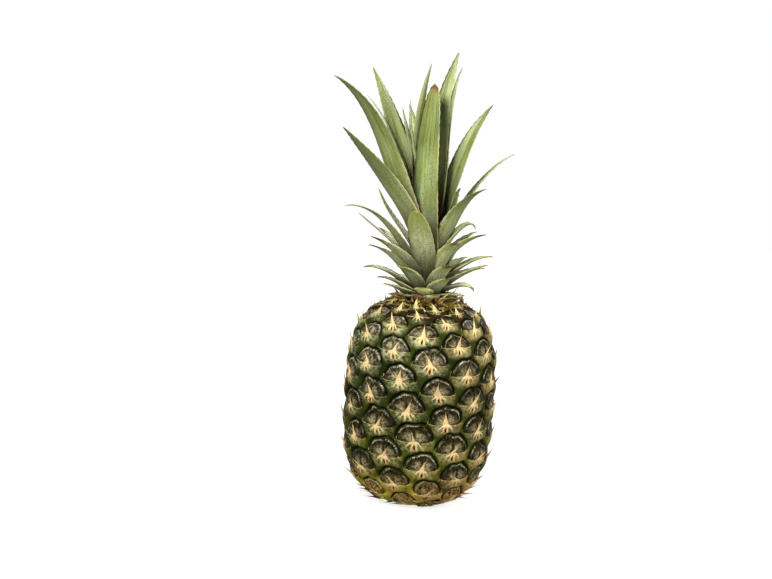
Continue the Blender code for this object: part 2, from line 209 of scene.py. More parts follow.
class Wire:
    """A value that flows between shader nodes. Python's operators on it add Math nodes."""

    def __init__(self, finish, socket):
        self.finish = finish
        self.socket = socket

    def maths(self, operation, *values):
        return self.finish.node("ShaderNodeMath", {"operation": operation}, dict(enumerate(values)))

    def __add__(self, other):
        return self.maths("ADD", self, other)

    def __radd__(self, other):
        return self.maths("ADD", other, self)

    def __sub__(self, other):
        return self.maths("SUBTRACT", self, other)

    def __rsub__(self, other):
        return self.maths("SUBTRACT", other, self)

    def __mul__(self, other):
        return self.maths("MULTIPLY", self, other)

    def __rmul__(self, other):
        return self.maths("MULTIPLY", other, self)

    def __truediv__(self, other):
        return self.maths("DIVIDE", self, other)

    def __pow__(self, other):
        return self.maths("POWER", self, other)

    def __abs__(self):
        return self.maths("ABSOLUTE", self)

    def sine(self):
        return self.maths("SINE", self)

    def above(self, low, high):
        """0 below low, 1 above high and smooth between them."""
        settings = {"interpolation_type": "SMOOTHSTEP"}
        return self.finish.node("ShaderNodeMapRange", settings, {0: self, 1: low, 2: high})

    def below(self, low, high):
        """1 below low, 0 above high and smooth between them."""
        settings = {"interpolation_type": "SMOOTHSTEP"}
        return self.finish.node("ShaderNodeMapRange", settings, {0: self, 1: low, 2: high, 3: 1.0, 4: 0.0})

    def near(self, middle, width):
        """1 at the middle value, 0 further from it than the width."""
        return abs(self - middle).below(0.0, width)


class Finish:
    """A material, and the one way to add nodes to it."""

    def __init__(self, name, **uniform):
        self.material = bpy.data.materials.new(name)
        self.material.use_nodes = True
        self.tree = self.material.node_tree
        self.shader = self.tree.nodes["Principled BSDF"]
        for socket, value in uniform.items():
            self.shader.inputs[socket.replace("_", " ")].default_value = value

    def node(self, kind, settings=None, inputs=None, output=0):
        made = self.tree.nodes.new(kind)
        for name, value in (settings or {}).items():
            setattr(made, name, value)
        for key, value in (inputs or {}).items():
            self.feed(made.inputs[key], value)
        return Wire(self, made.outputs[output])

    def feed(self, socket, value):
        if isinstance(value, Wire):
            self.tree.links.new(value.socket, socket)
        elif socket.type == "RGBA":
            socket.default_value = (*value, 1.0)
        else:
            socket.default_value = value

    def wear(self, **values):
        """Feeds the shader's own sockets."""
        for socket, value in values.items():
            self.feed(self.shader.inputs[socket.replace("_", " ")], value)

    def mix(self, share, first, second):
        """The first colour where share is 0 and the second where it is 1."""
        return self.node("ShaderNodeMix", {"data_type": "RGBA"}, {0: share, 6: first, 7: second}, 2)

    def attribute(self, name):
        return self.node("ShaderNodeAttribute", {"attribute_name": name}, output="Fac")

    def place_of(self, name):
        """The three numbers of a vector attribute."""
        vector = self.node("ShaderNodeAttribute", {"attribute_name": name}, output="Vector")
        return [self.node("ShaderNodeSeparateXYZ", None, {0: vector}, axis) for axis in range(3)]

    def position(self):
        return self.node("ShaderNodeTexCoord", output="Object")

    def join(self, x, y, z):
        return self.node("ShaderNodeCombineXYZ", None, {0: x, 1: y, 2: z})

    def noise(self, place, scale, detail=3.0, roughness=0.55):
        """Cloudy values round 0.5."""
        inputs = {"Vector": place, "Scale": scale, "Detail": detail, "Roughness": roughness}
        return self.node("ShaderNodeTexNoise", None, inputs)

    def cells(self, place, scale):
        """Distance to the nearest of many scattered points."""
        return self.node("ShaderNodeTexVoronoi", None, {"Vector": place, "Scale": scale}, "Distance")

    def bump(self, height, depth, under=None):
        """A surface raised by depth, in metres, where height is 1."""
        inputs = {"Strength": 1.0, "Distance": depth, "Height": height}
        if under:
            inputs["Normal"] = under
        return self.node("ShaderNodeBump", None, inputs)


def piece_of(name, shape, finish):
    """A finished object from a bmesh, which rides on the root body."""
    mesh = bpy.data.meshes.new(name)
    shape.to_mesh(mesh)
    shape.free()
    mesh.materials.append(finish.material)
    mesh.shade_smooth()
    made = bpy.data.objects.new(name, mesh)
    bpy.context.scene.collection.objects.link(made)
    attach(made, "root")
    return made


def smooth_step(value, low, high):
    share = np.clip((value - low) / (high - low), 0.0, 1.0)
    return share * share * (3 - 2 * share)


class Outline:
    """The barrel's outline from the foot to the neck. Lift is 0 at the widest height, the distance up
    the rind over the radius above it and over the widest radius below it. Length is the distance itself."""

    def __init__(self, steps=4000):
        turn = np.radians(np.linspace(-89.9, 89.9, steps + 1))
        upper = turn > 0
        squareness = np.where(upper, TOP_SQUARENESS, BOTTOM_SQUARENESS)
        neck_share = 1 - (NECK_RADIUS / FRUIT_RADIUS) ** TOP_SQUARENESS
        foot_share = 1 - (FOOT_RADIUS / FRUIT_RADIUS) ** BOTTOM_SQUARENESS
        half = np.where(upper, (FRUIT_HEIGHT - WIDEST_HEIGHT) / neck_share ** (1 / TOP_SQUARENESS),
                        WIDEST_HEIGHT / foot_share ** (1 / BOTTOM_SQUARENESS))
        radius = FRUIT_RADIUS * np.cos(turn) ** (2 / squareness)
        height = WIDEST_HEIGHT + np.sign(turn) * half * np.abs(np.sin(turn)) ** (2 / squareness)
        kept = (height >= 0) & (height <= FRUIT_HEIGHT)
        self.radius = radius[kept]
        self.height = height[kept]
        step = np.hypot(np.diff(self.radius), np.diff(self.height))
        is_low = self.height[1:] < WIDEST_HEIGHT
        middle = np.where(is_low, FRUIT_RADIUS, (self.radius[1:] + self.radius[:-1]) / 2)
        self.length = np.concatenate([[0], np.cumsum(step)])
        lift = np.concatenate([[0], np.cumsum(step / middle)])
        self.lift = lift - lift[np.argmin(np.abs(self.height - WIDEST_HEIGHT))]
        self.run_out = np.gradient(self.radius) / np.hypot(np.gradient(self.radius), np.gradient(self.height))
        self.run_up = np.gradient(self.height) / np.hypot(np.gradient(self.radius), np.gradient(self.height))

    def at(self, lift):
        """Radius, height and the slope's two parts at a lift or at an array of lifts."""
        return [np.interp(lift, self.lift, part)
                for part in (self.radius, self.height, self.run_out, self.run_up)]

    def on_rind(self, turn, lift, height):
        radius, level, run_out, run_up = self.at(lift)
        radius += height * run_up
        return Vector((radius * math.sin(turn), -radius * math.cos(turn), level - height * run_out))

    def directions(self, turn, lift):
        """To the right, up the rind and straight out of it."""
        run_out, run_up = self.at(lift)[2:]
        outward = Vector((math.sin(turn), -math.cos(turn), 0))
        up = outward * run_out + Vector((0, 0, run_up))
        right = Vector((math.cos(turn), math.sin(turn), 0))
        return right, up, right.cross(up)


def fruitlets(outline):
    """Turn and lift of each fruitlet's nose, where its spine grows, from the foot to the neck."""
    lowest = math.ceil((outline.lift[0] + RIND_MARGIN - FIRST_LIFT) / RISE)
    highest = math.floor((outline.lift[-1] - 2 * RIND_MARGIN - FIRST_LIFT) / RISE)
    return [((FIRST_TURN + n * DIVERGENCE) % math.tau, FIRST_LIFT + n * RISE)
            for n in range(lowest, highest + 1)]


def base_line(across):
    """Height of an eye's lower edge, where the bract's papery margin lies: level, with a cusp at the nose."""
    across = np.minimum(np.abs(across), 0.28)
    return BASE_DROP + CUSP_HEIGHT * np.exp(-(across / 0.045) ** 2) + 0.016 * (across / EYE_HALF_WIDTH) ** 4


def eye_shape(across, up):
    """Distance in an eye, 0 in its middle and 1 at its rim, and how far the place is to its arched side."""
    rise = up - base_line(across)
    high = np.maximum(up - BASE_DROP, 0) / EYE_HEIGHT
    arch = ((np.abs(across) / EYE_HALF_WIDTH) ** 2.3 + high ** 2.3) ** (1 / 2.3)
    base = np.maximum(1 - rise / (EYE_HEIGHT / 2), 0)
    return (arch ** 6 + base ** 6) ** (1 / 6), smooth_step(arch - base, -0.15, 0.12)


def skin_relief(turn, lift, outline, seed=7):
    """Height of the skin above the barrel in millimetres at arrays of places, and what the finish reads:
    the distance to the nearest eye, the bract's fullness, the groove, and the places in eye and bract."""
    chance = random.Random(seed)
    eye = np.full(turn.shape, 9.0)
    eye_place = np.zeros((*turn.shape, 3))
    bract_place = np.zeros((*turn.shape, 3))
    nearest_bract = np.full(turn.shape, 9.0)
    bract = np.zeros(turn.shape)
    groove = np.zeros(turn.shape)
    slit = np.zeros(turn.shape)
    for nose_turn, nose_lift in fruitlets(outline):
        mark = chance.random()
        size = chance.uniform(*EYE_SIZES)
        skew = chance.uniform(-EYE_SKEW, EYE_SKEW)
        split = 1.0 if chance.random() > SHARE_WITHOUT_SLIT else 0.0
        waves = [(number, chance.uniform(0, math.tau), chance.uniform(0.01, 0.045))
                 for number in RIM_WAVES]
        away = (turn - nose_turn + math.pi) % math.tau - math.pi
        near = (np.abs(away) < 0.6) & (np.abs(lift - nose_lift) < 0.5)
        up = (lift[near] - nose_lift) / size
        across = away[near] / size - skew * up
        distance, arched = eye_shape(across, up)
        around = np.arctan2(up - EYE_HEIGHT / 2, across)
        for number, phase, depth in waves:
            distance *= 1 + depth * np.sin(number * around + phase)
        ramp = smooth_step(up, -0.24, -0.03) * (1 - smooth_step(up - base_line(across), 0.0, 0.07))
        bract[near] = np.maximum(bract[near], np.exp(-(across / 0.235) ** 6) * ramp)
        groove[near] = np.maximum(groove[near], arched * np.exp(-((distance - 1.08) / 0.075) ** 2))
        opening = np.exp(-(across / 0.018) ** 2 - ((up + 0.08) / 0.03) ** 2) * split
        slit[near] = np.maximum(slit[near], opening)

        closer = distance < eye[near]
        where = np.flatnonzero(near)[closer]
        eye[where] = distance[closer]
        eye_place[where] = np.stack([across, up, np.full(up.shape, mark)], axis=1)[closer]
        to_bract = np.hypot(across, (up + 0.10) * 1.1)
        closer = to_bract < nearest_bract[near]
        where = np.flatnonzero(near)[closer]
        nearest_bract[where] = to_bract[closer]
        bract_place[where] = np.stack([across, up, np.full(up.shape, split)], axis=1)[closer]
    tilt = (eye_place[:, 1] - EYE_HEIGHT / 2) / (EYE_HEIGHT / 2)
    disc = 0.25 + 0.85 * (1 - eye ** 2) - 0.9 * tilt
    flesh = 0.1 + 2.0 * bract - 2.3 * groove - 0.8 * slit
    in_disc = 1 - smooth_step(eye, 0.96, 1.04)
    height = flesh * (1 - in_disc) + disc * in_disc
    return height, {"eye": eye, "bract": bract, "groove": groove, "lift": lift}, eye_place, bract_place


def skin_rows(outline):
    """Radius, height, lift, slope and share of relief of each row of the skin, from the middle of the
    stalk's socket to the middle of the neck."""
    socket_radius = STALK_RADIUS + GAP
    socket_top = STALK_HEIGHT + GAP
    low, high = outline.lift[0], outline.lift[-1]
    length = np.linspace(0, outline.length[-1], SKIN_ROWS)
    lift = np.interp(length, outline.length, outline.lift)
    radius, height, run_out, run_up = outline.at(lift)
    share = smooth_step(lift, low, low + 0.10) * (1 - smooth_step(lift, high - 0.12, high))
    before = [(0, socket_top), (socket_radius, socket_top), (socket_radius, 0), (18 * MM, 0)]
    after = [(NECK_RADIUS / 2, FRUIT_HEIGHT), (0, FRUIT_HEIGHT)]
    rows = [(r, z, low, 0, 1, 0) for r, z in before]
    rows += list(zip(radius, height, lift, run_out, run_up, share))
    rows += [(r, z, high, 0, 1, 0) for r, z in after]
    return np.array(rows)


def make_skin(outline, finish):
    """The fruit's skin: a grid wrapped round the barrel, with its seam and both its middles closed."""
    rows = skin_rows(outline)
    shape = bmesh.new()
    number_layers = [shape.verts.layers.float.new(name) for name in ("eye", "bract", "groove", "lift")]
    place_layers = [shape.verts.layers.float_vector.new(name) for name in ("eye_place", "bract_place")]
    bmesh.ops.create_grid(shape, x_segments=SKIN_COLUMNS, y_segments=len(rows) - 1, size=1)
    verts = list(shape.verts)
    grid = np.array([vert.co for vert in verts])
    turn = (grid[:, 0] + 1) * math.pi
    row = rows[np.rint((grid[:, 1] + 1) / 2 * (len(rows) - 1)).astype(int)]
    radius, level, lift, run_out, run_up, share = row.T
    height, numbers, *places = skin_relief(turn, lift, outline)
    height *= MM * share * np.clip(radius / FULL_RELIEF_RADIUS, 0.4, 1.0)
    radius = radius + height * run_up
    level = level - height * run_out
    level = np.where(share > 0, np.maximum(level, 0.2 * MM), level)
    place = np.stack([radius * np.sin(turn), -radius * np.cos(turn), level], axis=1)
    for number, vert in enumerate(verts):
        vert.co = place[number]
        for layer, values in zip(number_layers, numbers.values()):
            vert[layer] = values[number]
        for layer, values in zip(place_layers, places):
            vert[layer] = values[number]
    bmesh.ops.remove_doubles(shape, verts=verts, dist=1e-6)
    bmesh.ops.recalc_face_normals(shape, faces=shape.faces[:])
    skin = piece_of("fruit_skin", shape, finish)
    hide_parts("fruit")


class Blades:
    """A bmesh of many closed blades, with what the finish reads: the share of a blade's length, the side
    from -1 to 1, whether it is the inner face, the blade's own chance number and how dry it is."""

    def __init__(self):
        self.shape = bmesh.new()
        layers = self.shape.verts.layers.float
        self.layers = [layers.new(name) for name in ("along", "side", "inner", "mark", "dry")]

    def add(self, middle_at, width_at, curl_at, thickness, around, steps, mark=0.5, dry=0.0, teeth=0.0):
        """One blade with a lens-shaped section, cupped towards its inner face. middle_at gives the middle,
        the direction across and the direction out of the outer face at a share of the length."""
        verts = bmesh.ops.create_grid(self.shape, x_segments=around, y_segments=steps, size=1)["verts"]
        for vert in verts:
            share = (vert.co.y + 1) / 2
            round_way = (vert.co.x + 1) / 2
            inner = round_way > 0.5
            side = 3 - 4 * round_way if inner else 4 * round_way - 1
            middle, across, out = middle_at(share)
            half_angle = curl_at(share)
            width = width_at(share)
            step = round(share * steps)
            if abs(side) > 0.99 and 0 < share < 1:
                width += teeth * (1 if step % 2 else -1) * (1 + 4 * min(dry, 1.0) * share ** 6)
            curve_radius = width / (2 * half_angle)
            angle = half_angle * side
            depth = min(thickness, 0.4 * width) * (1 - side * side) ** 0.5 if inner else 0.0
            reach = curve_radius - depth
            vert.co = (middle + across * reach * math.sin(angle)
                       - out * (curve_radius - reach * math.cos(angle)))
            for layer, value in zip(self.layers, (share, side, float(inner), mark, dry)):
                vert[layer] = value
        bmesh.ops.remove_doubles(self.shape, verts=verts, dist=1e-7)
        edges = {edge for vert in verts if vert.is_valid for edge in vert.link_edges}
        open_edges = [edge for edge in edges if edge.is_boundary]
        caps = bmesh.ops.holes_fill(self.shape, edges=open_edges, sides=0)["faces"]
        bmesh.ops.triangulate(self.shape, faces=caps)

    def finish(self, name, finish, slot):
        bmesh.ops.recalc_face_normals(self.shape, faces=self.shape.faces[:])
        return piece_of(name, self.shape, finish)


def along_curve(points, share):
    """Place and heading on a curve of four control points."""
    a, b, c, d = points
    rest = 1 - share
    place = a * rest ** 3 + b * 3 * rest ** 2 * share + c * 3 * rest * share ** 2 + d * share ** 3
    heading = (b - a) * rest ** 2 + (c - b) * 2 * rest * share + (d - c) * share ** 2
    return place, heading.normalized()


def leaf_curve(outward, root_height, reach, tip_height, root_lean, tip_lean):
    """The four control points of the curve that a leaf grows on, from inside the stem to its tip."""
    def leaning(angle):
        return outward * math.sin(math.radians(angle)) + Vector((0, 0, math.cos(math.radians(angle))))

    neck = Vector((0, 0, FRUIT_HEIGHT + GAP))
    stem_radius = STEM_FOOT_RADIUS + (STEM_TIP_RADIUS - STEM_FOOT_RADIUS) * root_height * MM / STEM_HEIGHT
    start = neck + outward * (stem_radius - LEAF_ROOT_DEPTH) + Vector((0, 0, root_height * MM))
    end = neck + outward * reach * MM + Vector((0, 0, tip_height * MM))
    pull = (end - start).length / 3
    return start, start + leaning(root_lean) * pull, end - leaning(tip_lean) * pull, end


def add_leaf(blades, chance, taper, azimuth, root_height, reach, tip_height, root_lean, tip_lean, width,
             twist):
    """A leaf on the curve and the width of its solid, with fine teeth and a dry tip."""
    turn = math.radians(azimuth)
    twist = math.radians(twist)
    outward = Vector((math.sin(turn), -math.cos(turn), 0))
    sideways = Vector((math.cos(turn), math.sin(turn), 0))
    curve = leaf_curve(outward, root_height, reach, tip_height, root_lean, tip_lean)
    length = (curve[3] - curve[0]).length
    at_root, at_tip = BIG_CHANNEL if tip_height > BIG_LEAF_HEIGHT else SMALL_CHANNEL
    wave = chance.uniform(0, math.tau)

    def middle_at(share):
        middle, heading = along_curve(curve, share)
        outside = sideways.cross(heading)
        turned_by = twist * min(1, 2 * share) + 0.06 * math.sin(wave + 5 * share)
        across = sideways * math.cos(turned_by) + outside * math.sin(turned_by)
        return middle, across, outside * math.cos(turned_by) - sideways * math.sin(turned_by)

    def width_at(share):
        swell = 1 - (1 - ROOT_WIDTH) * (1 - math.sin(math.pi * min(share / WIDEST_SHARE, 1.0) / 2))
        narrowing = (1 - share ** taper[0]) ** taper[1]
        return max(0.5 * MM, width * MM * swell * narrowing)

    def curl_at(share):
        return at_tip + (at_root - at_tip) * (1 - share)

    fewest, most = LEAF_STEPS
    steps = max(fewest, min(most, round(length / LEAF_STEP)))
    dry = chance.uniform(0.5, 1.0) if tip_height < BIG_LEAF_HEIGHT else chance.uniform(0.1, 0.5)
    if tip_height < WITHERED_LEAF_HEIGHT:
        dry += WITHERED
    blades.add(middle_at, width_at, curl_at, LEAF_THICKNESS, LEAF_AROUND, steps, mark=chance.random(),
               dry=dry, teeth=TOOTH_DEPTH)


def make_leaves(finish):
    """All the crown's leaves."""
    chance = random.Random(11)
    blades = Blades()
    for row in LEAVES:
        add_leaf(blades, chance, POINTED_TAPER, *row)
    for row in BLUNT_LEAVES:
        add_leaf(blades, chance, BLUNT_TAPER, *row)
    for azimuth in SCALE_ANGLES:
        add_leaf(blades, chance, POINTED_TAPER, azimuth, *SCALE_LEAF)
    leaves = blades.finish("crown_leaves", finish, "leaf")
    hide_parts("crown")


def make_stem(finish):
    """The short stem that the leaves grow on."""
    shape = bmesh.new()
    bmesh.ops.create_cone(shape, cap_ends=True, segments=48, radius1=STEM_FOOT_RADIUS,
                          radius2=STEM_TIP_RADIUS, depth=STEM_HEIGHT)
    bmesh.ops.translate(shape, verts=shape.verts[:], vec=(0, 0, FRUIT_HEIGHT + GAP + STEM_HEIGHT / 2))
    piece_of("crown_stem", shape, finish)


def add_point(blades, chance, root, directions, length, width, lean, side_way, bend, thickness, steps,
              dry=1.0):
    """A dry point on the root. It runs along the second direction, turned by the lean towards the third,
    and goes off to the side of the first by its share of the length and by a growing bend."""
    right, up, out = directions
    along = up * math.cos(lean) + out * math.sin(lean)

    def middle_at(share):
        sideways = side_way * share + bend * share * share
        return root + (along * share + right * sideways) * length, right, out

    def width_at(share):
        return max(0.25 * MM, width * (1 - share) ** 1.8)

    def curl_at(share):
        return 0.9 - 0.5 * share

    blades.add(middle_at, width_at, curl_at, thickness, POINT_AROUND, steps, mark=chance.random(), dry=dry)


def add_spine(blades, chance, outline, turn, lift):
    """A papery spine that grows from a bract's nose and leans up over the eye, or stands up at the top."""
    radius, height, run_out, run_up = (float(part) for part in outline.at(lift))
    is_leafy = radius < LEAFY_RADIUS and height > WIDEST_HEIGHT
    size = min(1.0, max(0.65, radius / FULL_SPINE_RADIUS)) * chance.uniform(0.78, 1.08)
    if is_leafy:
        size *= chance.uniform(0.55, 1.0)
    width = LEAFY_SPINE_WIDTH if is_leafy else SPINE_WIDTH
    lean = chance.uniform(6, 26)
    lean = lean * run_up ** 2 if run_out > 0 else lean + 40 * (1 - run_up)
    root = outline.on_rind(turn, lift - NOSE_DROP, NOSE_HEIGHT * 0.8)
    width *= size * chance.uniform(0.75, 1.3)
    side_way = chance.gauss(0.05, 0.4 if is_leafy else 0.25)
    add_point(blades, chance, root, outline.directions(turn, lift), SPINE_LENGTH * size, width,
              math.radians(lean), side_way, chance.uniform(-0.5, 0.5), SPINE_THICKNESS, SPINE_STEPS,
              dry=0.0 if is_leafy else 1.0)


def make_shreds(outline, finish):
    """Dry shreds and small bracts round the neck and on the shoulder, and shreds near the foot."""
    chance = random.Random(23)
    blades = Blades()
    for number in range(NECK_SHREDS + SHOULDER_SHREDS + FOOT_SHREDS):
        turn = chance.uniform(0, math.tau)
        outward = Vector((math.sin(turn), -math.cos(turn), 0))
        directions = Vector((math.cos(turn), math.sin(turn), 0)), outward, Vector((0, 0, 1))
        width = chance.uniform(2, 7)
        if number < NECK_SHREDS:
            level = FRUIT_HEIGHT + chance.uniform(-1.0, 4.0) * MM
            root = outward * chance.uniform(14.5, 22) * MM + Vector((0, 0, level))
            lean, size = chance.uniform(-25, 60), chance.uniform(0.5, 1.4)
        elif number < NECK_SHREDS + SHOULDER_SHREDS:
            lift = outline.lift[-1] - chance.uniform(0.02, 1.0) ** 1.5 * 0.75
            root = outline.on_rind(turn, lift, 0.6 * MM)
            right, up, out = outline.directions(turn, lift)
            swing = chance.choice((-1, 1)) * chance.uniform(0.4, 2.6)
            along = up * math.cos(swing) + right * math.sin(swing)
            directions = along.cross(out), along, out
            lean, size, width = chance.uniform(-4, 26), chance.uniform(0.5, 1.1), chance.uniform(1, 3.5)
        else:
            root = outline.on_rind(turn, outline.lift[0] + chance.uniform(0.02, 0.42), 0)
            root.z = max(root.z, 1.5 * MM)
            lean, size = chance.uniform(0, 30), chance.uniform(0.5, 1.1)
        add_point(blades, chance, root, directions, SHRED_LENGTH * size, width * MM * size,
                  math.radians(lean), chance.uniform(-0.5, 0.5), chance.uniform(-0.6, 0.6),
                  SHRED_THICKNESS, SHRED_STEPS)
    blades.finish("dry_shreds", finish, "bract")


def add_edge(blades, chance, outline, turn, lift):
    """The papery margin of a bract, a thin lip that stands over the lower edge of its eye."""
    scale = min(1.0, max(0.4, outline.at(lift)[0] / FULL_RELIEF_RADIUS))
    phase = chance.uniform(0, math.tau)

    def middle_at(share):
        across = (2 * share - 1) * EDGE_HALF_WIDTH
        level = lift + float(base_line(across)) - 0.004
        up, out = outline.directions(turn + across, level)[1:]
        ripple = EDGE_RIPPLE * math.sin(9 * share * math.pi + phase)
        point = outline.on_rind(turn + across, level, (BRACT_TOP - 0.5 * MM) * scale + ripple)
        return point, (up * 0.55 + out * 0.83), (out * 0.55 - up * 0.83)

    def width_at(share):
        return max(0.2 * MM, EDGE_WIDTH * scale * math.sin(math.pi * share) ** 0.5)

    blades.add(middle_at, width_at, lambda share: 0.4, EDGE_THICKNESS, EDGE_AROUND, EDGE_STEPS,
               mark=chance.random())


def make_spines(outline, finish):
    """A spine on every fruitlet that stands clear of the crown and the foot, and a margin on each."""
    chance = random.Random(5)
    blades = Blades()
    for turn, lift in fruitlets(outline):
        radius, height = outline.at(lift)[:2]
        if radius > SPINE_RADIUS and height > SPINE_LOWEST:
            add_spine(blades, chance, outline, turn, lift)
    blades.finish("bract_spines", finish, "bract")
    edges = Blades()
    for turn, lift in fruitlets(outline):
        add_edge(edges, chance, outline, turn, lift)
    edges.finish("bract_edges", finish, "bract")


def skin_finish():
    """Dark glossy eyes in mealy green flesh, with tan roots at the noses."""
    finish = Finish("fruit_skin", Specular_IOR_Level=0.03, Coat_Roughness=0.15)
    place = finish.position()
    eye = finish.attribute("eye")
    bract = finish.attribute("bract")
    groove = finish.attribute("groove")
    lift = finish.attribute("lift")
    across, up, mark = finish.place_of("eye_place")
    root_across, root_up, split = finish.place_of("bract_place")
    to_right = finish.node("ShaderNodeSeparateXYZ", None, {0: place})
    cloud = finish.noise(place, 60.0, 7.0, 0.7)
    patch = finish.noise(place, 22.0, 7.0, 0.65)
    grain = finish.noise(place, 480.0, 4.0)
    crumb = finish.noise(place, 1100.0, 2.0)
    in_eye = eye.below(0.98, 1.03)
    # Whitish bloom with painted sheen, only on the upper left where the main light falls
    upper_left_bloom_and_sheen = lift.above(0.1, 1.2) * to_right.below(-0.03, 0.03)

    # Discs: nearly black and hazy round the nose, with bloom and painted sheen on the upper left
    ray = finish.node("ShaderNodeMath", {"operation": "ARCTAN2"}, {0: up, 1: across})
    wrinkle = (ray * 40.0 + cloud * 26.0 + mark * 20.0).sine() * 0.5 + 0.5
    fold = (ray * 11.0 + cloud * 14.0 + mark * 9.0).sine() * 0.5 + 0.5
    streak = finish.noise(finish.join(ray * 4.0, eye * 2.4, mark * 40.0), 2.4, 5.0).above(0.32, 0.68)
    dark = finish.mix(grain.above(0.40, 0.68), (0.003, 0.0027, 0.0005), (0.026, 0.023, 0.007))
    streaked = streak * eye.below(0.5, 1.0) * grain.above(0.3, 0.6) * 0.4
    dark = finish.mix(streaked, dark, (0.035, 0.030, 0.012))
    nose_away = (across * across * 0.6 + (up - 0.04) * (up - 0.04) * 1.6) ** 0.5
    bloom = nose_away.below(0.02, 0.145) * abs(across).above(0.006, 0.035) * (0.15 + streak * 0.85)
    bloom = bloom * (0.6 + mark * 0.4) * (0.1 + grain.above(0.3, 0.6) * 0.9)
    disc = finish.mix(bloom, dark, (0.43, 0.38, 0.24))
    ring = eye.near(0.76, 0.17)
    disc_bloom_and_sheen = upper_left_bloom_and_sheen * streak * grain.above(0.30, 0.62) * (0.35 + up.above(0.02, 0.2) * 0.4)
    disc_bloom_and_sheen = disc_bloom_and_sheen * (1 - ring * 0.75)
    disc = finish.mix(disc_bloom_and_sheen.maths("MINIMUM", disc_bloom_and_sheen, 0.9), disc, (0.50, 0.49, 0.36))
    lip = eye.near(0.91, 0.09)
    # Painted highlights along the upper rim of each eye, stronger on the upper left
    painted_rim_highlight = eye.near(0.92, 0.07) * (wrinkle * 0.4 + 0.6) * up.above(0.04, 0.12) * crumb.above(0.40, 0.56)
    painted_rim_highlight = painted_rim_highlight * cloud.above(0.44, 0.56) * (0.4 + streak * 0.6)
    disc = finish.mix(painted_rim_highlight * (0.55 + upper_left_bloom_and_sheen * 0.45), disc, (0.82, 0.80, 0.66))
    withered = lift.below(-1.35, -0.70) * cloud.above(0.38, 0.52)
    disc = finish.mix(withered * grain.above(0.35, 0.55) * 0.8, disc, (0.40, 0.25, 0.07))

    # Flesh: green to nearly black, mealy on the bracts, yellow and withered low down
    low = lift.below(-1.2, 0.3)
    green = finish.mix(low, (0.022, 0.030, 0.003), (0.070, 0.085, 0.005))
    flesh = finish.mix(cloud.above(0.35, 0.65), (0.004, 0.008, 0.001), green)
    dry_side = to_right.above(0.0, 0.05) * patch.above(0.3, 0.6) * bract.above(0.1, 0.6)
    flesh = finish.mix(dry_side * grain.above(0.3, 0.6) * 0.7, flesh, (0.26, 0.17, 0.07))
    mealy = finish.noise(place, 260.0, 6.0, 0.65).above(0.38, 0.66)
    # Mealier on the upper left, partly painted sheen
    mealy = mealy * (0.18 + lift.above(-0.2, 1.6) * 0.3 + upper_left_bloom_and_sheen * 0.5 + low * 0.5)
    mealy = (mealy + crumb.above(0.52, 0.63) * 0.35) * bract.above(0.05, 0.9)
    mealy = mealy * (1 - abs(root_across).above(0.09, 0.23) * 0.65)
    meal = finish.mix(low, (0.36, 0.38, 0.21), (0.42, 0.33, 0.12))
    flesh = finish.mix(mealy.maths("MINIMUM", mealy, 0.9), flesh, meal)
    flesh = finish.mix(withered * 0.9, flesh, (0.46, 0.29, 0.09))
    yellow = lift.below(-1.25, -0.75) * to_right.near(-0.02, 0.04) * patch.above(0.35, 0.5)
    flesh = finish.mix(yellow * 0.9, flesh, (0.34, 0.34, 0.01))
    flesh = finish.mix(lift.above(1.30, 1.50) * 0.95, flesh, (0.010, 0.008, 0.002))
    # Painted shade in the grooves round the eyes, nearly black
    painted_groove_shade = groove.above(0.12, 0.7) * (0.6 + cloud.above(0.35, 0.55) * 0.38)
    depth = finish.mix(low * 0.8, (0.0008, 0.0014, 0.0002), (0.008, 0.017, 0.001))
    flesh = finish.mix(painted_groove_shade, flesh, depth)

    # Tan fibres that spread from the spines' roots, and a slit in some bracts with painted shade in it
    root_ray = finish.node("ShaderNodeMath", {"operation": "ARCTAN2"}, {0: root_across, 1: 0.04 - root_up})
    fibres = (root_ray * 13.0 + grain * 6.0 + split * 2.0).sine().above(0.2, 0.8)
    reach = (root_across * root_across + (root_up + 0.005) * (root_up + 0.005)) ** 0.5
    tan = fibres * reach.below(0.06, 0.15) + reach.below(0.03, 0.07) * (0.5 + grain.above(0.35, 0.6) * 0.5)
    flesh = finish.mix(tan.maths("MINIMUM", tan, 1.0) * 0.85, flesh, (0.56, 0.43, 0.24))
    hole_away = (root_across * root_across * 8.0 + (root_up + 0.08) * (root_up + 0.08)) ** 0.5
    flesh = finish.mix(hole_away.near(0.046, 0.014) * split * 0.9, flesh, (0.36, 0.16, 0.06))
    # Painted shade in the slit's opening
    flesh = finish.mix(hole_away.below(0.028, 0.038) * split, flesh, (0.010, 0.012, 0.003))

    fine = finish.bump(grain * 0.6 + crumb * 0.4, 0.35 * MM)
    raised = (fold * 0.5 + wrinkle * eye.above(0.45, 0.85) * 0.3 + lip * 0.5) * in_eye
    folds = finish.bump(raised, 1.0 * MM, fine)
    finish.wear(Base_Color=finish.mix(in_eye, flesh, disc), Normal=folds, Roughness=0.7 - in_eye * 0.25,
                Coat_Weight=in_eye * (lip * 0.3 + 0.04) + bract * (1 - in_eye) * 0.02)
    return finish


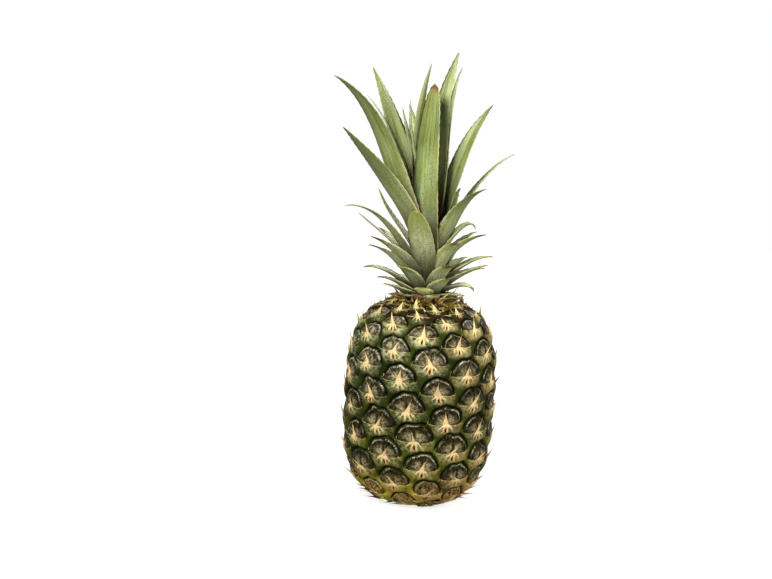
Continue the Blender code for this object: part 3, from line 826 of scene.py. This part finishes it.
def leaf_finish():
    """Grey-green with a silvery mealy bloom near the root, fine veins, pale margins and brown tips."""
    finish = Finish("leaf", Specular_IOR_Level=0.3)
    place = finish.position()
    along = finish.attribute("along")
    side = finish.attribute("side")
    inner = finish.attribute("inner")
    mark = finish.attribute("mark")
    dry = finish.attribute("dry")
    # Streaked green under a mealy bloom, which is strongest low down
    streaks = finish.noise(finish.join(side * 3.5, along * 2.0, mark * 40.0), 2.0, 4.0)
    speckle = finish.noise(place, 900.0, 3.0, 0.7)
    cloud = finish.noise(place, 45.0)
    green = finish.mix(streaks.above(0.35, 0.65), (0.042, 0.066, 0.008), (0.130, 0.165, 0.026))
    green = finish.mix(mark * 0.4, green, (0.12, 0.13, 0.03))
    patch = finish.noise(finish.join(side * 1.3, along * 3.0, mark * 70.0), 2.0, 3.0)
    low = (along + patch * 0.5 - 0.25).below(0.15, 0.75)
    height = finish.node("ShaderNodeSeparateXYZ", None, {0: place}, 2)
    low = low.maths("MAXIMUM", low, height.below(0.19, 0.25) * (1.15 - along * 0.5 - patch * 0.4))
    fresh = patch.above(0.50, 0.64)
    silver = (0.22 + low * 0.75) * (0.35 + speckle.above(0.38, 0.60) * 0.65) * (1 - fresh * 0.5)
    bloom = finish.mix(height.below(0.19, 0.25), (0.36, 0.43, 0.25), (0.58, 0.63, 0.45))
    green = finish.mix(fresh * low, green, (0.22, 0.26, 0.03))
    colour = finish.mix(silver.maths("MINIMUM", silver, 0.95), green, bloom)
    stained = finish.noise(finish.join(side * 4.0, along * 5.0, mark * 30.0), 2.0, 4.0)
    colour = finish.mix(stained.above(0.66, 0.74) * dry * 0.8, colour, (0.30, 0.17, 0.05))
    # Painted root and edge shade, painted backlit glow on inner faces, tan creases, yellow-green low tips
    # Painted shade, darkest at the roots
    shade = along.below(0.15, 0.54 + height.below(0.17, 0.24) * 0.30)
    colour = finish.mix(shade * 0.97, colour, (0.004, 0.007, 0.001))
    # Painted shade towards the edges of each leaf
    colour = finish.mix(abs(side).above(0.3, 1.0) * 0.35, colour, (0.030, 0.045, 0.008))
    # Painted backlit glow on the upper part of the inner faces
    pale = inner * along.above(0.25, 0.55) * (side * (mark - 0.5) * 6.0 + streaks - 0.5).above(-0.3, 0.5)
    colour = finish.mix(pale * 0.65, colour, (0.33, 0.40, 0.23))
    crease = side.near(mark * 0.8 - 0.4, 0.09) * streaks.above(0.48, 0.62) * along.above(0.2, 0.4)
    colour = finish.mix(crease * 0.55, colour, (0.30, 0.19, 0.03))
    ripe = (along + patch * 0.5 - 0.25).above(0.62, 0.95) * height.below(0.20, 0.27)
    colour = finish.mix(ripe * 0.75, colour, (0.22, 0.27, 0.045))
    # Dry margins and tips
    margin = abs(side).above(0.90, 0.98)
    colour = finish.mix(margin * cloud.above(0.3, 0.6) * 0.8, colour, (0.50, 0.38, 0.20))
    withering = along + (cloud * 0.4 + 0.05) * dry
    colour = finish.mix(withering.above(1.0, 1.10) * 0.6, colour, (0.20, 0.18, 0.04))
    tip = withering.above(1.07, 1.11)
    colour = finish.mix(tip, colour, (0.11, 0.06, 0.02))
    veins = (side * 45.0 + streaks * 3.0).sine() * 0.5 + 0.5
    fine = finish.bump(speckle, 0.05 * MM)
    ridges = finish.bump(veins, 0.12 * MM, fine)
    finish.wear(Base_Color=colour, Normal=ridges, Roughness=0.5 - inner * 0.12 + tip * 0.3)
    return finish


def papery_finish():
    """Dry tan paper, browner at the point, with fine fibres along it."""
    finish = Finish("papery_bract", Specular_IOR_Level=0.3)
    place = finish.position()
    along = finish.attribute("along")
    side = finish.attribute("side")
    mark = finish.attribute("mark")
    fibre = finish.noise(finish.join(side * 7.0, along * 3.0, mark * 50.0), 2.0, 4.0)
    cloud = finish.noise(place, 120.0)
    colour = finish.mix(fibre.above(0.35, 0.65), (0.36, 0.22, 0.10), (0.76, 0.61, 0.38))
    colour = finish.mix(cloud.above(0.5, 0.65) * 0.6, colour, (0.58, 0.46, 0.14))
    colour = finish.mix(abs(side).above(0.4, 1.0) * 0.75, colour, (0.33, 0.18, 0.08))
    fresh = (along + cloud * 0.5 + finish.attribute("dry")).below(0.5, 0.8)
    colour = finish.mix(fresh * 0.85, colour, (0.30, 0.32, 0.16))
    colour = finish.mix((along + mark * 0.4).above(0.7, 1.2) * 0.8, colour, (0.26, 0.13, 0.05))
    finish.wear(Base_Color=colour, Roughness=0.75, Normal=finish.bump(fibre, 0.3 * MM))
    return finish


def shred_finish():
    """Withered shreds, from yellow green to brown and tan."""
    finish = Finish("dry_shreds", Specular_IOR_Level=0.1)
    place = finish.position()
    along = finish.attribute("along")
    side = finish.attribute("side")
    mark = finish.attribute("mark")
    fibre = finish.noise(finish.join(side * 3.0, along * 2.0, mark * 50.0), 2.0, 4.0)
    colour = finish.mix(mark.above(0.45, 0.55), (0.05, 0.026, 0.009), (0.24, 0.22, 0.02))
    colour = finish.mix(mark.above(0.75, 0.85), colour, (0.42, 0.30, 0.14))
    colour = finish.mix(fibre.above(0.35, 0.65) * mark.above(0.2, 0.6) * 0.6, colour, (0.44, 0.36, 0.10))
    tip = (along + finish.noise(place, 200.0) * 0.4).above(0.75, 1.2)
    colour = finish.mix(tip, colour, (0.10, 0.05, 0.02))
    finish.wear(Base_Color=colour, Roughness=0.8, Normal=finish.bump(fibre, 0.3 * MM))
    return finish


def stalk_finish():
    """Dry cut fibres with darker brown blotches."""
    finish = Finish("stalk", Specular_IOR_Level=0.3)
    place = finish.position()
    pores = finish.cells(place, 700.0)
    cloud = finish.noise(place, 180.0)
    colour = finish.mix(pores.above(0.2, 0.6), (0.36, 0.24, 0.11), (0.66, 0.52, 0.30))
    colour = finish.mix(cloud.above(0.5, 0.7) * 0.6, colour, (0.28, 0.16, 0.07))
    finish.wear(Base_Color=colour, Roughness=0.85, Normal=finish.bump(pores, 0.4 * MM))
    return finish


def make_camera():
    """A camera that sees the aim point at its pixel, from the photograph's distance and height."""
    away = Vector((0, -math.cos(ELEVATION), math.sin(ELEVATION)))
    place = AIM + away * PIXELS_AWAY * PIXEL_SIZE
    level_right = (-away).cross(Vector((0, 0, 1))).normalized()
    level_up = level_right.cross(-away)
    right = level_right * math.cos(ROLL) + level_up * math.sin(ROLL)
    up = level_up * math.cos(ROLL) - level_right * math.sin(ROLL)
    across = AIM_PIXEL[0] - FRAME_WIDTH / 2
    down = AIM_PIXEL[1] - FRAME_HEIGHT / 2
    heading = (-away * PIXELS_AWAY - right * across + up * down).normalized()
    right = (right - heading * right.dot(heading)).normalized()
    up = right.cross(heading)
    data = bpy.data.cameras.new("camera")
    data.sensor_width = SENSOR
    data.lens = PIXELS_AWAY / FRAME_WIDTH * SENSOR
    camera = bpy.data.objects.new("camera", data)
    turned = Matrix((right, up, -heading)).transposed().to_4x4()
    camera.matrix_world = Matrix.Translation(place) @ turned
    bpy.context.scene.collection.objects.link(camera)
    bpy.context.scene.camera = camera


def make_light(name, place, size, power, colour):
    """A square soft light that faces the fruit's neck."""
    data = bpy.data.lights.new(name, "AREA")
    data.size = size
    data.energy = power
    data.color = colour
    light = bpy.data.objects.new(name, data)
    light.location = place
    light.rotation_euler = (LIGHT_TARGET - Vector(place)).to_track_quat("-Z", "Y").to_euler()
    bpy.context.scene.collection.objects.link(light)


def make_world():
    """Surroundings that look white and light the scene softly."""
    world = bpy.data.worlds.new("studio")
    world.use_nodes = True
    tree = world.node_tree
    background = tree.nodes["Background"]
    background.inputs["Color"].default_value = (1, 1, 1, 1)
    seen = tree.nodes.new("ShaderNodeLightPath")
    strength = tree.nodes.new("ShaderNodeMapRange")
    strength.inputs["To Min"].default_value = SURROUNDING_LIGHT
    strength.inputs["To Max"].default_value = 1.0
    tree.links.new(seen.outputs["Is Camera Ray"], strength.inputs["Value"])
    tree.links.new(strength.outputs["Result"], background.inputs["Strength"])
    return world


def make_studio():
    """White floor and surroundings, a soft main light from the upper left and weaker ones beside it."""
    scene = bpy.context.scene
    scene.view_settings.view_transform = "Standard"
    scene.world = make_world()
    paint = Finish("floor", Roughness=0.9, Emission_Strength=1.0)
    place = paint.position()
    distance = paint.node("ShaderNodeVectorMath", {"operation": "LENGTH"}, {0: place}, 1)
    spots = paint.noise(place, 4.0)
    glow = paint.mix(distance.above(0.2, 1.1), (0.82, 0.82, 0.82), (0.98, 0.98, 0.98))
    seen = paint.node("ShaderNodeLightPath", output="Is Camera Ray")
    glow = paint.mix(seen, (0.20, 0.20, 0.20), glow)
    grey = paint.mix(spots * 0.1, (0.16, 0.16, 0.16), (0.15, 0.15, 0.15))
    paint.wear(Base_Color=grey, Emission_Color=glow)
    shape = bmesh.new()
    bmesh.ops.create_grid(shape, x_segments=1, y_segments=1, size=FLOOR_SIZE)
    mesh = bpy.data.meshes.new("floor")
    shape.to_mesh(mesh)
    shape.free()
    mesh.materials.append(paint.material)
    floor = bpy.data.objects.new("floor", mesh)
    scene.collection.objects.link(floor)
    for light in LIGHTS:
        make_light(*light)


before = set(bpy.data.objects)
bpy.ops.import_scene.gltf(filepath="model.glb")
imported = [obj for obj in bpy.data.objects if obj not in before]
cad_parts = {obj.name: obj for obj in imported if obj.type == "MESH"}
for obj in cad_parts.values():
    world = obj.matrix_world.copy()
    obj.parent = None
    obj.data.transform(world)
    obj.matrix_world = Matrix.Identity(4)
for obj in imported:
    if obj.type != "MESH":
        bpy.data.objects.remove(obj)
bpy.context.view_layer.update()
make_camera()
make_studio()
outline = Outline()
make_skin(outline, skin_finish())
green = leaf_finish()
make_leaves(green)
make_stem(green)
paper = papery_finish()
make_spines(outline, paper)
make_shreds(outline, shred_finish())
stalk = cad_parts["stalk"]
stalk.data.materials.clear()
stalk.data.materials.append(stalk_finish().material)
